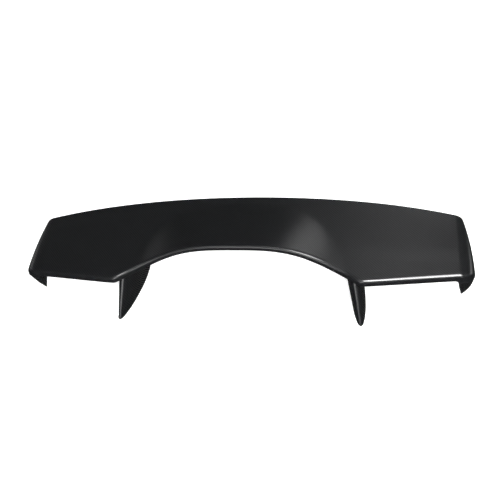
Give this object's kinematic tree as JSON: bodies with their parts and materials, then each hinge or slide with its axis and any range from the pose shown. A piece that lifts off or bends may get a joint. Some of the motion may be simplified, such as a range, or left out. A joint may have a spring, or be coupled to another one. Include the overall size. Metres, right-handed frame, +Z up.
{
  "type": "rear wing",
  "caption": "Wide carbon rear wing with a lifted, swept-back centre, turned-down ends and twin bladed uprights that bolt to a boot lid.",
  "frame": {"origin": "centre of the foot bolt pattern, on the plane the two feet stand on", "axes": "+X across the car to its right as seen from behind the front edge looking back, +Y to the rear of the car, +Z up, away from the boot lid"},
  "size_m": [1.3964, 0.3435, 0.2244],
  "materials": {
    "wing_carbon": "clear-coated twill carbon fibre laminate",
    "under_carbon": "clear-coated twill carbon fibre laminate",
    "upright_carbon": "clear-coated twill carbon fibre laminate",
    "foam": "closed-cell structural foam",
    "rib_laminate": "uncoated carbon laminate",
    "alloy": "machined alloy",
    "pad_rubber": "closed-cell EPDM",
    "screw_steel": "zinc-plated steel",
    "insert_steel": "stainless steel"
  },
  "bodies": {
    "root": {"bracket_left": "alloy", "bracket_right": "alloy", "core_bay_left": "foam", "core_bay_right": "foam", "core_centre": "foam", "core_panel_left": "foam", "core_panel_right": "foam", "foot_gasket_left": "pad_rubber", "foot_gasket_right": "pad_rubber", "lower_skin": "under_carbon", "rib_end_left": "rib_laminate", "rib_end_right": "rib_laminate", "rib_inner_left": "rib_laminate", "rib_inner_right": "rib_laminate", "rib_outer_left": "rib_laminate", "rib_outer_right": "rib_laminate", "tapped_plate_left": "alloy", "tapped_plate_right": "alloy", "thread_inserts_left": "insert_steel", "thread_inserts_right": "insert_steel", "tip_core_left": "foam", "tip_core_right": "foam", "tip_liner_left": "under_carbon", "tip_liner_right": "under_carbon", "top_pad_left": "pad_rubber", "top_pad_right": "pad_rubber", "top_screws_left": "screw_steel", "top_screws_right": "screw_steel", "top_washers_left": "screw_steel", "top_washers_right": "screw_steel", "upper_skin": "wing_carbon", "upright_inner_left": "upright_carbon", "upright_inner_right": "upright_carbon", "upright_outer_left": "upright_carbon", "upright_outer_right": "upright_carbon"}
  },
  "joints": []
}
